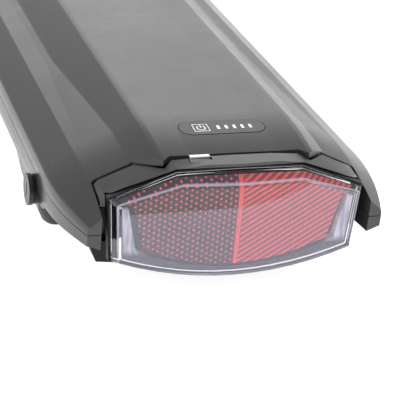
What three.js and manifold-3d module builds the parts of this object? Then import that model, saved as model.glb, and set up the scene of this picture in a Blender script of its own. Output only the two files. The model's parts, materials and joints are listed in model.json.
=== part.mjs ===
// Battery pack for the rear carrier of an electric bicycle, with the rear lamp built into its tail.
// Millimetres, +Z up. The origin is the centre of the flat underside. -Y is the tail with the lamp,
// +Y is the end that slides onto the discharge contacts, +X is the right side seen from the tail.
import * as THREE from 'three';
import { mergeVertices } from 'three/addons/utils/BufferGeometryUtils.js';
import Module from 'manifold-3d';

const wasm = await Module();
wasm.setup();

// ---------------------------------------------------------------- driving dimensions
const gap = 0.3;                  // clearance between two pieces that meet
const tailY = -186;               // front glass of the rear lamp
const noseY = 186;                // end face of the contact end
const shellEndY = 176;            // the two shells stop here, the nose cover goes on
const halfWidth = 69.6;
const roofZ = 61.7;               // middle of the roof
const splitZ = 33;                // joint between upper and lower shell
const bandZ = 20.6;               // underside of the wide part of the lower shell
const wall = 2.4;
const bayY = -162.4;              // rear face of the bulkhead in front of the lamp bay
const cavityBackY = -160;
const cavityFrontY = shellEndY - wall;
const bayHalfWidth = 55.8;        // half width of the lamp bay between the two cheeks
const keelBackY = -112;           // the deep part of the lower shell starts here
const dropStartY = -138;          // the roof bends down towards the tail from here
const dropRadius = 190;
const facetStartY = -46;
const facetEndY = -138;
const cellRadius = 9.2;
const cellLength = 65;
const cellPitch = 18.7;
const bankPitch = 68.6;
const firstBankY = -69.5;         // middle of the bank nearest the tail
const lowerCellZ = 12.5;
const topCellZ = 49.7;
const lockY = -125;
const lockZ = 24.5;
const lockHeadRadius = 6.8;
const lockBarrelRadius = 6.3;
const panelX = 0.8;
const panelY = -152.5;
const panelLength = 37;
const panelWidth = 11.4;
const ledFirstX = -1.5;           // first charge mark, measured from the middle of the panel
const ledPitch = 3.42;
const ledCount = 5;
const buttonX = -8.9;             // power button, measured from the middle of the panel
const latchX = -15.2;
const latchHalf = 4.2;            // half width of the latch tab
const lockPinOffset = 4.6;        // how far the driving pin sits from the lock's axis
const chargeY = -128;
const chargeZ = 27;
const chargeHingeY = chargeY + 9.6;
const screwPlaces = [[44, -148], [50, 112], [52, 163]];
const contactX = 13;              // the two discharge contacts stand this far from the middle
const wireStartZ = 45.8;          // wires leave the management board at this height

// ---------------------------------------------------------------- mesh and boolean helpers
function toSolid(geometry) {
  const bare = geometry.clone();
  bare.deleteAttribute('normal');
  bare.deleteAttribute('uv');
  const merged = mergeVertices(bare, 1e-4);
  return new wasm.Manifold(new wasm.Mesh({
    numProp: 3,
    vertProperties: new Float32Array(merged.attributes.position.array),
    triVerts: new Uint32Array(merged.index.array),
  }));
}

function toGeometry(solid) {
  const mesh = solid.getMesh();
  const geometry = new THREE.BufferGeometry();
  geometry.setAttribute('position', new THREE.BufferAttribute(new Float32Array(mesh.vertProperties), 3));
  geometry.setIndex(new THREE.BufferAttribute(new Uint32Array(mesh.triVerts), 1));
  return geometry;
}

const union = (...solids) => solids.reduce((joined, solid) => joined.add(solid));
const cut = (body, ...tools) => tools.reduce((left, tool) => left.subtract(tool), body);

// A box given by its low and high corners.
function box(x0, x1, y0, y1, z0, z1) {
  const geometry = new THREE.BoxGeometry(x1 - x0, y1 - y0, z1 - z0);
  geometry.translate((x0 + x1) / 2, (y0 + y1) / 2, (z0 + z1) / 2);
  return toSolid(geometry);
}

// A round bar along 'x', 'y' or 'z' from start to end, centred on the two other coordinates.
function bar(axis, radius, start, end, a, b, segments = 24) {
  const geometry = new THREE.CylinderGeometry(radius, radius, end - start, segments);
  const middle = (start + end) / 2;
  if (axis === 'x') {
    geometry.rotateZ(Math.PI / 2);
    geometry.translate(middle, a, b);
  } else if (axis === 'y') {
    geometry.translate(a, middle, b);
  } else {
    geometry.rotateX(Math.PI / 2);
    geometry.translate(a, b, middle);
  }
  return toSolid(geometry);
}

// A closed outline of [u, v] points pushed along an axis. The outline lies in XY, XZ or YZ.
function prism(axis, outline, start, end) {
  const shape = new THREE.Shape(outline.map(([u, v]) => new THREE.Vector2(u, v)));
  const geometry = new THREE.ExtrudeGeometry(shape, { depth: end - start, bevelEnabled: false });
  const place = new THREE.Matrix4();
  if (axis === 'z') {
    place.makeTranslation(0, 0, start);
  } else if (axis === 'y') {
    place.set(1, 0, 0, 0, 0, 0, -1, end, 0, 1, 0, 0, 0, 0, 0, 1);
  } else {
    place.set(0, 0, 1, start, 1, 0, 0, 0, 0, 1, 0, 0, 0, 0, 0, 1);
  }
  geometry.applyMatrix4(place);
  return toSolid(geometry);
}

// A skin through outlines with equal numbers of points, closed at both ends.
// Each section is { at, outline }; axis 'y' reads outlines as [x, z], axis 'z' as [x, y].
function loft(axis, sections) {
  const count = sections[0].outline.length;
  const positions = [];
  for (const { at, outline } of sections) {
    for (const [u, v] of outline) {
      positions.push(...(axis === 'y' ? [u, at, v] : [u, v, at]));
    }
  }
  const index = [];
  for (let s = 0; s + 1 < sections.length; s += 1) {
    for (let i = 0; i < count; i += 1) {
      const j = (i + 1) % count;
      const low = s * count;
      const high = low + count;
      index.push(low + i, low + j, high + j, low + i, high + j, high + i);
    }
  }
  const contour = sections[0].outline.map(([u, v]) => new THREE.Vector2(u, v));
  const anticlockwise = THREE.ShapeUtils.area(contour) > 0;
  const last = (sections.length - 1) * count;
  for (const [a, p, q] of THREE.ShapeUtils.triangulateShape(contour, [])) {
    const sameTurn = (THREE.ShapeUtils.area([contour[a], contour[p], contour[q]]) > 0) === anticlockwise;
    const [b, c] = sameTurn ? [p, q] : [q, p];
    index.push(a, c, b, last + a, last + b, last + c);
  }
  const geometry = new THREE.BufferGeometry();
  geometry.setAttribute('position', new THREE.Float32BufferAttribute(positions, 3));
  const outward = axis === 'z' ? anticlockwise : !anticlockwise;
  if (!outward) {
    for (let i = 0; i < index.length; i += 3) {
      [index[i + 1], index[i + 2]] = [index[i + 2], index[i + 1]];
    }
  }
  geometry.setIndex(index);
  return toSolid(geometry);
}

// Moves every point of a closed outline inward by a distance, along its mitred corner.
function inset(outline, distance) {
  const turn = Math.sign(THREE.ShapeUtils.area(outline.map(([u, v]) => new THREE.Vector2(u, v))));
  return outline.map(([u, v], i) => {
    const before = outline[(i + outline.length - 1) % outline.length];
    const after = outline[(i + 1) % outline.length];
    const normalOf = (p, q) => {
      const length = Math.hypot(q[0] - p[0], q[1] - p[1]) || 1;
      return [-(q[1] - p[1]) / length * turn, (q[0] - p[0]) / length * turn];
    };
    const n1 = normalOf(before, [u, v]);
    const n2 = normalOf([u, v], after);
    const scale = distance / Math.max(0.35, 1 + n1[0] * n2[0] + n1[1] * n2[1]);
    return [u + (n1[0] + n2[0]) * scale, v + (n1[1] + n2[1]) * scale];
  });
}

// The right half of an outline, from top to bottom, completed with its mirror image.
function mirrored(half) {
  const left = half.filter(([x]) => x > 1e-6).map(([x, v]) => [-x, v]).reverse();
  return [...half, ...left];
}

// A rectangle with round corners, anticlockwise.
function roundedRectangle(x0, x1, y0, y1, radius, steps = 4) {
  const corners = [[x1 - radius, y1 - radius, 0], [x0 + radius, y1 - radius, 1],
    [x0 + radius, y0 + radius, 2], [x1 - radius, y0 + radius, 3]];
  const points = [];
  for (const [cx, cy, quarter] of corners) {
    for (let i = 0; i <= steps; i += 1) {
      const angle = (quarter + i / steps) * Math.PI / 2;
      points.push([cx + radius * Math.cos(angle), cy + radius * Math.sin(angle)]);
    }
  }
  return points;
}

// ---------------------------------------------------------------- outer form of the case
// Half width of the case at the shoulder: straight, then drawn in at the tail and the nose.
function halfWidthAt(y) {
  const tail = Math.max(0, -136 - y) / 50;
  const nose = Math.max(0, y - 150) / 36;
  return halfWidth - 8.6 * tail ** 2.2 - 5 * nose ** 2;
}

// How far the roof has bent down at a station.
function dropAt(y) {
  const tail = Math.max(0, dropStartY - y);
  const nose = Math.max(0, y - 150);
  return tail ** 2 / (2 * dropRadius) + nose ** 2 / 500;
}

// Points of the right half of the upper shell's cross-section, from the middle of the roof down to
// the joint: shallow dished roof, ramp, flat facet that widens towards the tail, ridge, shoulder.
function upperHalf(y) {
  const facet = Math.min(1, Math.max(0, (facetStartY - y) / (facetStartY - facetEndY)));
  const rampFootX = 46.5 - 5.3 * facet;
  const rampFootZ = 62.2 - (rampFootX - 31.5) * 0.7267;
  const drop = dropAt(y);
  const half = [[18.5, roofZ - drop], [31.5, 62.2 - drop], [rampFootX, rampFootZ - drop],
    [49.5 + 4 * facet, 49.9 - 0.9 * facet - drop], [57, 47.3 - drop], [68.9, 39.3 - 0.6 * drop],
    [halfWidth, 36.5 - 0.4 * drop]];
  const narrow = (halfWidthAt(y) - 50) / (halfWidth - 50);
  return half.map(([x, z]) => [x > 50 ? 50 + (x - 50) * narrow : x, z]);
}

function upperSection(y, inward = 0, floorZ = splitZ) {
  const half = upperHalf(y);
  const side = [half[half.length - 1][0], 10];
  const outline = mirrored([...half, side]);
  const moved = inward > 0 ? inset(outline, inward) : outline;
  return moved.map(([x, z], i) => [x, i === half.length || i === half.length + 1 ? floorZ : z]);
}

const shellStations = [shellEndY, 172, 164, 156, 150, 60, facetStartY, -92, facetEndY, -148, -156, -163,
  -170, -176, -181, tailY + 0.8];

function upperLoft(startY, endY, inward, floorZ) {
  const inside = shellStations.filter((y) => y > startY + 0.5 && y < endY - 0.5);
  const stations = [startY, ...inside.reverse(), endY];
  return loft('y', stations.map((y) => ({ at: y, outline: upperSection(y, inward, floorZ) })));
}

// Plan outline of the case at a given inset, between two stations.
function planOutline(inward, startY, endY) {
  const stations = [startY, -181, -176, -170, -163, -156, -148, -136, 150, 158, 166, endY];
  const kept = stations.filter((y, i) => i === 0 || (y > startY + 0.5 && y <= endY));
  const half = kept.map((y) => [halfWidthAt(y) - inward, y]);
  const left = kept.map((y) => [-(halfWidthAt(y) - inward), y]).reverse();
  return [...half, ...left];
}

// Plan outline of the deep keel of the lower shell: wide around the lock, slimmer ahead of it.
function keelOutline(rearWidth, frontWidth, inward) {
  const back = keelBackY + inward;
  const front = shellEndY - inward;
  const rear = rearWidth - inward;
  const fore = frontWidth - inward;
  const corner = 4.5;
  const half = [[rear - corner, back]];
  for (let i = 1; i <= 4; i += 1) {
    const angle = (i / 4) * Math.PI / 2;
    half.push([rear - corner + corner * Math.sin(angle), back + corner - corner * Math.cos(angle)]);
  }
  half.push([rear, -71], [fore, -15], [fore, front - 6], [fore - 6, front]);
  const left = half.map(([x, y]) => [-x, y]).reverse();
  return [...half, ...left];
}

function keelLoft(inward, floorZ, topZ) {
  const sections = [
    { at: floorZ, outline: keelOutline(60.6, 54.4, inward) },
    { at: floorZ + 1.4, outline: keelOutline(62.2, 56.2, inward) },
    { at: 6, outline: keelOutline(64, 59, inward) },
    { at: topZ, outline: keelOutline(66.4, 66.2, inward) },
  ];
  return loft('z', sections);
}

// Underside of the two flanks that hang beside the lamp: it rises towards the tail.
const flankStartY = -131;
const flankRise = 6.6;
const flankInnerX = 53.5;

function flankLowAt(y) {
  return bandZ + flankRise * (Math.max(0, flankStartY - y) / 54) ** 0.8;
}

// The space under the flanks, as a cutter. It reaches a distance further up for the inner wall.
function underFlanks(reach, innerX) {
  const stations = [tailY - 2, -180, -174, -167, -160, -153, -147, -141, -136, flankStartY];
  const sections = stations.map((y) => {
    const low = flankLowAt(y) + reach - (y === flankStartY ? 0.6 : 0);
    const outline = [[innerX, low - 1], [60.5, low + 1], [64, low + 1.6], [80, low + 3], [80, 0],
      [innerX, 0]];
    return { at: y, outline };
  });
  const right = loft('y', sections);
  return right.add(right.mirror([1, 0, 0]));
}

// ---------------------------------------------------------------- outline of the lamp
// Front view of the lens, right half from the top: shallow peak, slanted flanks, bowed lower edge.
const lensFront = [[0, 51], [25.5, 52], [50, 45], [48.5, 20.2]];
const lensBack = [[0, 55.6], [26.2, 55.2], [52, 45.3], [50.4, 19.4]];
const bowSteps = 6;

function lampOutline(half, lowZ, outward = 0) {
  const [endX, endZ] = half[half.length - 1];
  const bow = [];
  for (let i = 1; i <= bowSteps; i += 1) {
    const x = endX * (1 - i / bowSteps);
    bow.push([x, lowZ + (endZ - lowZ) * (x / endX) ** 2]);
  }
  return inset(mirrored([...half, ...bow]), -outward);
}

const lensFrontLow = 11;
const lensBackLow = 10.2;
const lensWall = 1.5;

// ---------------------------------------------------------------- tilted frame of the status panel
const panelZ = roofZ - dropAt(panelY);
const panelTilt = (dropStartY - panelY) / dropRadius;

function onRoof(solid) {
  const geometry = toGeometry(solid);
  geometry.rotateX(panelTilt);
  geometry.translate(panelX, panelY, panelZ);
  return toSolid(geometry);
}

// ---------------------------------------------------------------- group and mesh making
const pack = new THREE.Group();
const finish = {
  shell: { color: 0x2e2f31, roughness: 0.42, metalness: 0 },
  dark: { color: 0x141416, roughness: 0.5, metalness: 0 },
  rubber: { color: 0x1b1b1c, roughness: 0.85, metalness: 0 },
  clear: { color: 0xd9d6e4, roughness: 0.08, metalness: 0, transparent: true, opacity: 0.35 },
  red: { color: 0xd0202a, roughness: 0.25, metalness: 0 },
  frosted: { color: 0xdcdce6, roughness: 0.45, metalness: 0 },
  bright: { color: 0xc8cacd, roughness: 0.28, metalness: 0.95 },
  steel: { color: 0x9a9da1, roughness: 0.35, metalness: 0.95 },
  brass: { color: 0xc9a24a, roughness: 0.3, metalness: 0.95 },
  board: { color: 0x1f5b3a, roughness: 0.5, metalness: 0 },
  cell: { color: 0x3f78b5, roughness: 0.35, metalness: 0 },
  pale: { color: 0xbfc4c8, roughness: 0.6, metalness: 0 },
  positive: { color: 0xb3201d, roughness: 0.5, metalness: 0 },
  negative: { color: 0x18181a, roughness: 0.5, metalness: 0 },
  grey: { color: 0x77797c, roughness: 0.45, metalness: 0 },
};

function addPart(name, solid, look) {
  const mesh = new THREE.Mesh(toGeometry(solid), new THREE.MeshStandardMaterial(finish[look]));
  mesh.name = name;
  pack.add(mesh);
}

// ---------------------------------------------------------------- upper shell
// Plan outline of the material taken out of the tail for the lamp and its hood.
function bayOutline(clearance) {
  const half = [[0, -172.1 + clearance], [26.8, -172.5 + clearance], [30.3, -175.7 + clearance],
    [39.7, -165.9 + clearance], [54.4, -164 + clearance], [bayHalfWidth + clearance, -165],
    [bayHalfWidth + clearance, tailY - 10]];
  return mirrored(half);
}

function cavityRing(inner, outer, lowZ, highZ) {
  const outside = roundedRectangle(-(halfWidth - outer), halfWidth - outer,
    cavityBackY - wall + outer, shellEndY - outer, 6);
  const inside = roundedRectangle(-(halfWidth - inner), halfWidth - inner,
    cavityBackY - wall + inner, shellEndY - inner, 4);
  return cut(prism('z', outside, lowZ, highZ), prism('z', inside, lowZ - 1, highZ + 1));
}

const caseOutline = prism('z', planOutline(0, tailY, shellEndY), -5, 80);
const gasketLand = cavityRing(5.4, 0.6, splitZ - 3.4, splitZ + 3.4).intersect(caseOutline);
const gasketGroove = cavityRing(4.1, 2.3, splitZ - 1.3, splitZ + 1.3);

function mirrorPair(makeSolid) {
  return union(makeSolid(1), makeSolid(-1));
}

// The same solid at every case screw, on both sides.
function atScrews(makeSolid) {
  return union(...screwPlaces.map(([x, y]) => mirrorPair((side) => makeSolid(side * x, y))));
}

function makeUpperShell() {
  const outer = upperLoft(tailY + 0.8, shellEndY, 0, splitZ + gap / 2);
  const cavity = upperLoft(cavityBackY, cavityFrontY, wall, splitZ - 2);
  const bay = upperLoft(tailY - 2, bayY, wall, splitZ - 2)
    .intersect(box(-bayHalfWidth, bayHalfWidth, tailY - 10, bayY, 0, 80));
  const halfSpace = box(-90, 90, -200, 200, splitZ + gap / 2, 90);
  const land = gasketLand.intersect(halfSpace);
  const posts = atScrews((x, y) => bar('z', 3.6, splitZ + gap / 2, 58, x, y, 16)).intersect(outer);
  const pilots = atScrews((x, y) => bar('z', 1.7, splitZ - 2, splitZ + 12, x, y, 12));
  const boardPosts = onRoof(union(...[-15.5, 16].map((x) => bar('z', 1.5, -5.4, -1.4, x, 0, 10))));
  const recess = onRoof(prism('z', roundedRectangle(-panelLength / 2, panelLength / 2,
    -panelWidth / 2, panelWidth / 2, 5.4, 6), -1.2, 3));
  const buttonHole = onRoof(box(buttonX - 3.7, buttonX + 3.7, -3.4, 3.4, -6, 3));
  const ledSlot = onRoof(box(ledFirstX - 1.6, ledFirstX + (ledCount - 1) * ledPitch + 1.6, -2, 2, -6, 3));
  const hollow = cut(outer, cavity, bay, prism('z', bayOutline(0), 0, 90));
  const bulkhead = box(-57, 57, bayY, cavityBackY, splitZ + gap / 2, 60).intersect(outer);
  return cut(union(hollow, land, posts, boardPosts, bulkhead), gasketGroove, pilots, recess, buttonHole,
    ledSlot, lampScrewHoles, cableHole);
}

// ---------------------------------------------------------------- lower shell
const lampScrewX = 25;
const lampScrewZ = 26.2;
const lampScrewHoles = mirrorPair((side) => (
  bar('y', 1.9, bayY - 1, cavityBackY + 1, side * lampScrewX, lampScrewZ, 16)));
const cableHole = bar('y', 2.6, bayY - 4, cavityBackY + 1, 0, 40, 16);

const boltSlot = box(-43.9, -39.5, lockY - 1.4, lockY + 9.6, 5, bandZ + wall + 1);

function makeLowerShell() {
  const band = loft('z', [
    { at: bandZ, outline: planOutline(1.7, tailY + 1.6, shellEndY) },
    { at: 27, outline: planOutline(0.1, tailY + 0.9, shellEndY) },
    { at: splitZ - gap / 2, outline: planOutline(0, tailY + 0.8, shellEndY) },
  ]);
  const outer = union(cut(band, underFlanks(0, bayHalfWidth)), keelLoft(0, 0, bandZ + 0.5));
  const bandCavity = cut(
    prism('z', planOutline(wall + 0.4, cavityBackY, cavityFrontY), bandZ + wall, splitZ + 3),
    underFlanks(wall, flankInnerX),
  );
  const keelCavity = keelLoft(wall, wall, bandZ + wall + 1);
  const bay = box(-bayHalfWidth, bayHalfWidth, tailY - 10, bayY, 0, 60);
  const landSpace = box(-90, 90, -200, 200, 0, splitZ - gap / 2);
  const land = gasketLand.intersect(landSpace);
  const sleeves = atScrews((x, y) => bar('z', 4.2, sleeveFoot(y), splitZ - gap, x, y, 16));
  const drills = atScrews((x, y) => screwDrill(x, y, -1));
  const lockBoss = bar('x', lockBarrelRadius + 2.2, -66.5, -44, lockY, lockZ, 24);
  const lockHole = bar('x', lockBarrelRadius + gap, -75, -40, lockY, lockZ, 24);
  const chargeBoss = bar('x', 6.2, 60, 68, chargeY, chargeZ, 24).intersect(landSpace);
  const chargeHole = bar('x', 5, 55, 75, chargeY, chargeZ, 24);
  const plugOpening = box(-24, 24, cavityFrontY - 1, shellEndY + 1, 9, 29);
  return cut(union(cut(outer, bandCavity, keelCavity, bay), land, sleeves, lockBoss, chargeBoss),
    gasketGroove, drills, lockHole, boltSlot, chargeHole, plugOpening, lampScrewHoles, cableHole);
}

// The case screws start in the keel floor, or in the tail cover under the raised floor.
function screwFloor(y) {
  return y < keelBackY ? 10.6 : 0.2;
}

function sleeveFoot(y) {
  return y < keelBackY ? bandZ + 0.1 : 0.2;
}

function screwSink(y) {
  return y < keelBackY ? 3.2 : 14;
}

// The stepped hole for one case screw, drilled from below.
function screwDrill(x, y, startZ) {
  const seat = screwFloor(y) + screwSink(y);
  return union(bar('z', 1.8, startZ, 40, x, y, 12), bar('z', 3.1, startZ, seat, x, y, 16));
}

// ---------------------------------------------------------------- pieces of the case
function addCase() {
  addPart('upper_shell', makeUpperShell(), 'shell');
  addPart('lower_shell', makeLowerShell(), 'shell');
  addPart('shell_gasket', cavityRing(3.8, 2.6, splitZ - 1, splitZ + 1), 'rubber');
  screwPlaces.forEach(([x, y], row) => {
    for (const side of [1, -1]) {
      const seat = screwFloor(y) + screwSink(y);
      const head = bar('z', 2.8, seat - 2.4, seat - gap / 2, side * x, y, 16);
      const shank = bar('z', 1.4, seat - 1, splitZ + 10, side * x, y, 10);
      const drive = bar('z', 1.2, seat - 4, seat - 1.3, side * x, y, 6);
      const sideName = side > 0 ? 'right' : 'left';
      addPart(`case_screw_${sideName}_${row + 1}`, cut(union(head, shank), drive), 'steel');
    }
  });
}

// ---------------------------------------------------------------- nose cover and discharge contacts
function noseSection(y, inward) {
  const half = [...upperHalf(y), [halfWidthAt(y), splitZ], [halfWidthAt(y) - 0.1, 27],
    [halfWidthAt(y) - 1.7, bandZ], [60.2, bandZ - 0.4], [53, 6], [49.5, 1.6], [46.5, 0]];
  return inset(mirrored(half), inward);
}

function addNose() {
  const cover = loft('y', [[shellEndY + gap, 0.01], [182.5, 0.9], [noseY, 4.5]].map(([y, inward]) => (
    { at: y, outline: noseSection(y, inward) })));
  const mouth = prism('y', roundedRectangle(-23.7, 23.7, 9.3, 28.7, 2), 170, 190);
  addPart('nose_cover', cut(cover, mouth), 'dark');
  const body = prism('y', roundedRectangle(-23.4, 23.4, 9.6, 28.4, 1.8), 150, 183);
  const slots = mirrorPair((side) => box(side * contactX - 3, side * contactX + 3, 149, 184, 12, 26));
  const signalHoles = mirrorPair((side) => box(side * 3 - 1.2, side * 3 + 1.2, 168, 184, 15, 23));
  addPart('discharge_connector', cut(body, slots, signalHoles), 'dark');
  for (const [name, side] of [['positive', -1], ['negative', 1]]) {
    const x = side * contactX;
    const fork = cut(box(x - 2.7, x + 2.7, 146, 176, 12.3, 25.7), box(x - 1.3, x + 1.3, 158, 177, 11, 27));
    addPart(`discharge_contact_${name}`, fork, 'brass');
  }
}

// ---------------------------------------------------------------- rear lamp
const rimFrontY = -180.3;
const rimBackY = -177;
const housingBackY = bayY - gap;

function lampPrism(outward, startY, endY) {
  return prism('y', lampOutline(lensBack, lensBackLow, outward), startY, endY);
}

function addLamp() {
  const rim = lampPrism(0.9, rimFrontY, rimBackY);
  const tray = lampPrism(-2.2, rimBackY - 0.5, housingBackY);
  const atLampScrews = (radius, startY, endY, segments) => mirrorPair((side) => (
    bar('y', radius, startY, endY, side * lampScrewX, lampScrewZ, segments)));
  const bosses = atLampScrews(4, -171, housingBackY - 1, 16);
  const pilots = atLampScrews(1.75, -172, housingBackY + 1, 12);
  const housing = cut(union(cut(union(rim, tray), lampPrism(0.3, rimFrontY - 1, -178.2),
    lampPrism(-4.4, -179, housingBackY - 2.4)), bosses), pilots, cableHole);
  addPart('light_housing', housing, 'dark');

  const skin = loft('y', [
    { at: tailY, outline: lampOutline(lensFront, lensFrontLow, 0) },
    { at: -181.8, outline: lampOutline(lensBack, lensBackLow, 0) },
    { at: -179.6, outline: lampOutline(lensBack, lensBackLow, 0.01) },
  ]);
  const hollow = loft('y', [
    { at: tailY + lensWall, outline: lampOutline(lensFront, lensFrontLow, -lensWall) },
    { at: -181.4, outline: lampOutline(lensBack, lensBackLow, -lensWall) },
    { at: -179, outline: lampOutline(lensBack, lensBackLow, -lensWall - 0.01) },
  ]);
  addPart('light_lens', skin.subtract(hollow), 'clear');
  addPart('light_seal', cut(lampPrism(0, -179.3, -178.5), lampPrism(-1.4, -180, -178)), 'rubber');

  const reflectorHalf = [[0, 48.8], [25.1, 49.7], [43.4, 44.4], [38.2, 24.6]];
  const reflectorLow = 15.6;
  const plate = prism('y', lampOutline(reflectorHalf, reflectorLow), -183.6, -181.2);
  addPart('light_reflector', union(plate, box(-1, 1, -183.9, -183.3, 16.6, 48)), 'red');
  const guideHalf = [[0, 60], [30, 60], [45.6, 44], [41.5, 24.2]];
  const guideLow = 14.6;
  const guideOuter = prism('y', lampOutline(lensFront, lensFrontLow, -1.9), -183.6, -180.2);
  const guideInner = prism('y', lampOutline(guideHalf, guideLow), -185, -179);
  addPart('light_guide', cut(guideOuter, guideInner, box(-60, 60, -190, -170, 42.6, 60)), 'frosted');

  const diodes = [-40, -24, -8, 8, 24, 40].map((x) => box(x - 1.4, x + 1.4, -178.2, -177.2, 22, 24.8));
  const board = union(lampPrism(-5, -177.4, -175.8), ...diodes, box(-6, 6, -176, -172.5, 44, 48));
  addPart('light_board', board, 'board');
  for (const [name, side] of [['left', -1], ['right', 1]]) {
    const head = bar('y', 2.9, cavityBackY + gap, cavityBackY + 2.6, side * lampScrewX, lampScrewZ, 16);
    const shank = bar('y', 1.45, -169.5, cavityBackY + 1, side * lampScrewX, lampScrewZ, 10);
    const drive = bar('y', 1.5, cavityBackY + 1.2, cavityBackY + 4, side * lampScrewX, lampScrewZ, 6);
    addPart(`light_screw_${name}`, cut(union(head, shank), drive), 'steel');
  }
}

// ---------------------------------------------------------------- hood between shell and lamp
function hoodSection(y) {
  const back = (y + 183) / 20;
  const half = [[14, 58.4 + 0.4 * back], [26.9, 56.7 + 2.2 * back], [39.7, 51.4 + 2.8 * back],
    [53.2, 45.4 + 1.9 * back], [55, 43.4 + 1.9 * back], [55, 40.6 + 1.9 * back], [51, 40.6 + 1.9 * back],
    [50.8, 30]];
  return mirrored(half);
}

function addHood() {
  const block = loft('y', [-184, -173, -163].map((y) => ({ at: y, outline: hoodSection(y) })));
  const frontHalf = [[0, -182.2], [26.9, -180.8], [53.4, -177.4], [60, -176.6]];
  const kept = bayOutline(-0.7).filter(([x, y]) => x >= 0 && y > -180);
  const right = [...frontHalf, ...kept.reverse()];
  const left = right.filter(([x]) => x > 0).map(([x, y]) => [-x, y]).reverse();
  const footprint = prism('z', [...right, ...left], 0, 90);
  const notch = box(latchX - latchHalf - 0.4, latchX + latchHalf + 0.4, -176.9, -165, 50, 70);
  addPart('light_hood', cut(block.intersect(footprint), lampPrism(1.2, -190, -160), notch), 'shell');
  const tab = union(box(latchX - latchHalf, latchX + latchHalf, -175.2, -172.9, 55.3, 59.1),
    box(latchX - latchHalf, latchX + latchHalf, -176.4, -175, 55.3, 57.9));
  addPart('latch_tab', tab, 'bright');
}

// ---------------------------------------------------------------- black cover under the tail
// Cross-section of the cover: lifted towards the front, drawn inward and open-topped for the hollow.
function tailSection(lift, inward) {
  const topZ = inward > 0 ? 25 : bandZ - gap;
  return mirrored([[55.4 - inward, topZ], [55.2 - inward, 17.6 + lift * 0.2],
    [52.6 - inward, 11.2 + inward + lift], [44, 10.2 + inward + lift]]);
}

function addTailCover() {
  const front = -114;
  const outer = loft('y', [[-167, 0], [-132, 0], [front, 3.6]].map(([y, lift]) => (
    { at: y, outline: tailSection(lift, 0) })));
  const inner = loft('y', [[-160.5, 0], [-132, 0], [front - 2, 3.6]].map(([y, lift]) => (
    { at: y, outline: tailSection(lift, 2) })));
  const rearScrew = screwPlaces[0];
  const posts = mirrorPair((side) => bar('z', 4.6, 10.6, 20.3, side * rearScrew[0], rearScrew[1], 16));
  const drills = mirrorPair((side) => screwDrill(side * rearScrew[0], rearScrew[1], 5));
  const lockClearance = bar('x', lockBarrelRadius + 2.6, -70, -40, lockY, lockZ, 24);
  addPart('tail_cover', cut(union(cut(outer, inner), posts.intersect(outer)), drills,
    lampPrism(-1.9, -180, bayY), lockClearance, boltSlot), 'dark');
}

// ---------------------------------------------------------------- status panel and power button
function addStatus() {
  const pill = prism('z', roundedRectangle(-panelLength / 2 + gap, panelLength / 2 - gap,
    -panelWidth / 2 + gap, panelWidth / 2 - gap, 5.1, 6), -0.9, 0.05);
  const marks = Array.from({ length: ledCount }, (_, i) => ledFirstX + i * ledPitch);
  const windows = union(...marks.map((x) => box(x - 1, x + 1, -1.7, 1.7, -2, 2)));
  const buttonWindow = box(buttonX - 3.7, buttonX + 3.7, -3.4, 3.4, -2, 2);
  addPart('status_panel', onRoof(cut(pill, windows, buttonWindow)), 'dark');

  const cap = box(buttonX - 3.4, buttonX + 3.4, -3.1, 3.1, -3.2, 0.15);
  const flange = box(buttonX - 4.4, buttonX + 4.4, -4.1, 4.1, -3.6, -2.75);
  const stem = bar('z', 1.2, -4.6, -3.4, buttonX, 0, 12);
  addPart('power_button', onRoof(union(cap, flange, stem)), 'dark');

  const pegs = union(...marks.map((x) => box(x - 0.7, x + 0.7, -1.4, 1.4, -3.2, 0.05)));
  const runner = box(marks[0] - 1.2, marks[ledCount - 1] + 1.2, -2.6, 2.6, -3.9, -2.8);
  addPart('status_light_pipe', onRoof(union(pegs, runner)), 'frosted');

  const board = box(-17.5, 17.5, -5.4, 5.4, -6.9, -5.7);
  const tactSwitch = box(buttonX - 2.2, buttonX + 2.2, -2.2, 2.2, -5.8, -5.3);
  const diodes = marks.map((x) => box(x - 0.6, x + 0.6, -0.6, 0.6, -5.8, -5.2));
  addPart('status_board', onRoof(union(board, tactSwitch, ...diodes)), 'board');
}

// ---------------------------------------------------------------- carrier lock in the left flank
function addLock() {
  const tube = bar('x', lockBarrelRadius, -70.7, -46, lockY, lockZ);
  addPart('lock_barrel', tube.subtract(bar('x', 4.6, -71, -45, lockY, lockZ)), 'dark');
  const pinReach = lockPinOffset * Math.SQRT1_2;
  const head = bar('x', lockHeadRadius, -72.9, -71, lockY, lockZ, 32);
  const core = bar('x', 4.3, -71.4, -45, lockY, lockZ);
  const flange = bar('x', 6, -45.7, -44.4, lockY, lockZ);
  const pin = bar('x', 1.1, -45, -39.9, lockY + pinReach, lockZ - pinReach, 12);
  const keyway = box(-74, -66, lockY - 0.6, lockY + 0.6, lockZ - 3, lockZ + 3);
  addPart('lock_plug', cut(union(head, core, flange, pin), keyway), 'grey');
  const boltOutline = [[lockY - 0.9, lockZ + 3], [lockY - 0.9, 9], [lockY + 1.5, 5.6], [lockY + 6.5, 5.6],
    [lockY + 9.1, 9], [lockY + 9.1, lockZ + 3]];
  const slot = box(-50, -30, lockY + 1.6, lockY + 6.4, lockZ - pinReach - 1.6, lockZ - pinReach + 1.6);
  addPart('lock_bolt', cut(prism('x', boltOutline, -43.4, -40.4), slot), 'steel');
}

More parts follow.
